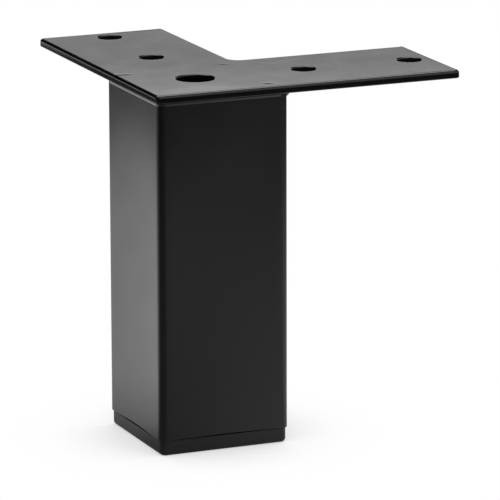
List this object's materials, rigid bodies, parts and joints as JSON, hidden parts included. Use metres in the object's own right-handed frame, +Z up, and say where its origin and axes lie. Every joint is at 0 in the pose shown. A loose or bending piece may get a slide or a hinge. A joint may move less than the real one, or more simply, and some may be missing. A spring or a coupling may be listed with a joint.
{
  "type": "furniture leg",
  "caption": "Short square black steel furniture leg, welded under an L-shaped corner plate with screw holes and a larger centre hole, closed below by a plastic foot insert.",
  "frame": {"origin": "middle of the foot insert's sole, on the axis of the square tube, at floor level", "axes": "+Z up along the tube to the mounting plate, +X and +Y along the plate's two arms"},
  "size_m": [0.118, 0.118, 0.132],
  "materials": {
    "powder_coat": "satin black powder coat on steel, smooth with a very fine texture",
    "foot_plastic": "smooth moulded black plastic, half matt"
  },
  "bodies": {
    "root": {"mounting_plate": "powder_coat", "leg_tube": "powder_coat", "outer_weld": "powder_coat", "arm_x_weld": "powder_coat", "arm_y_weld": "powder_coat", "foot_insert": "foot_plastic"}
  },
  "joints": []
}
